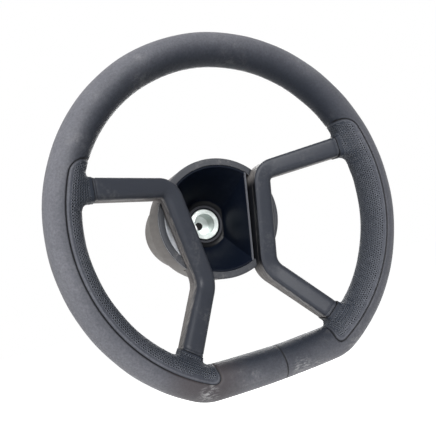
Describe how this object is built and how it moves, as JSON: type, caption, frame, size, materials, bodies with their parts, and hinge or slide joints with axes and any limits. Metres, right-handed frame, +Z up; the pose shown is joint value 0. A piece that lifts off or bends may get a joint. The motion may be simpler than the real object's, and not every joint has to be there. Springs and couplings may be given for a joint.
{
  "type": "boat steering wheel",
  "caption": "Flat-bottomed leather-covered boat steering wheel with bent bracket spokes, a deep cup-shaped hub and no centre cap",
  "frame": {"origin": "centre of the shaft bore's mouth, in the boss's rear face", "axes": "+Y along the shaft, rearwards, the way the shaft leaves; +Z up; +X to the driver's right"},
  "size_m": [0.35, 0.1616, 0.3362],
  "materials": {
    "smooth_leather": "matt smooth",
    "grip_leather": "matt, finely perforated",
    "foam": "matt moulded foam",
    "raw_steel": "matt black",
    "spoke_plastic": "soft matt",
    "black_screws": "satin black",
    "zinc": "bright zinc plating",
    "black_ring": "matt",
    "bowl_plastic": "semi-gloss moulded",
    "shroud_plastic": "matt moulded"
  },
  "bodies": {
    "root": {"rim_hoop": "raw_steel", "rim_foam": "foam", "leather_smooth": "smooth_leather", "leather_grip_left": "grip_leather", "leather_grip_right": "grip_leather", "spoke_bar_left": "raw_steel", "spoke_bar_right": "raw_steel", "front_cover_left": "spoke_plastic", "front_cover_right": "spoke_plastic", "rear_cover_left": "spoke_plastic", "rear_cover_right": "spoke_plastic", "cover_screws_left": "black_screws", "cover_screws_right": "black_screws", "bar_screws_left": "zinc", "bar_screws_right": "zinc", "hub_bracket": "raw_steel", "hub_boss": "zinc", "boss_collar": "black_ring", "hub_bowl": "bowl_plastic", "hub_shroud": "shroud_plastic", "shroud_screws": "zinc"}
  },
  "joints": []
}
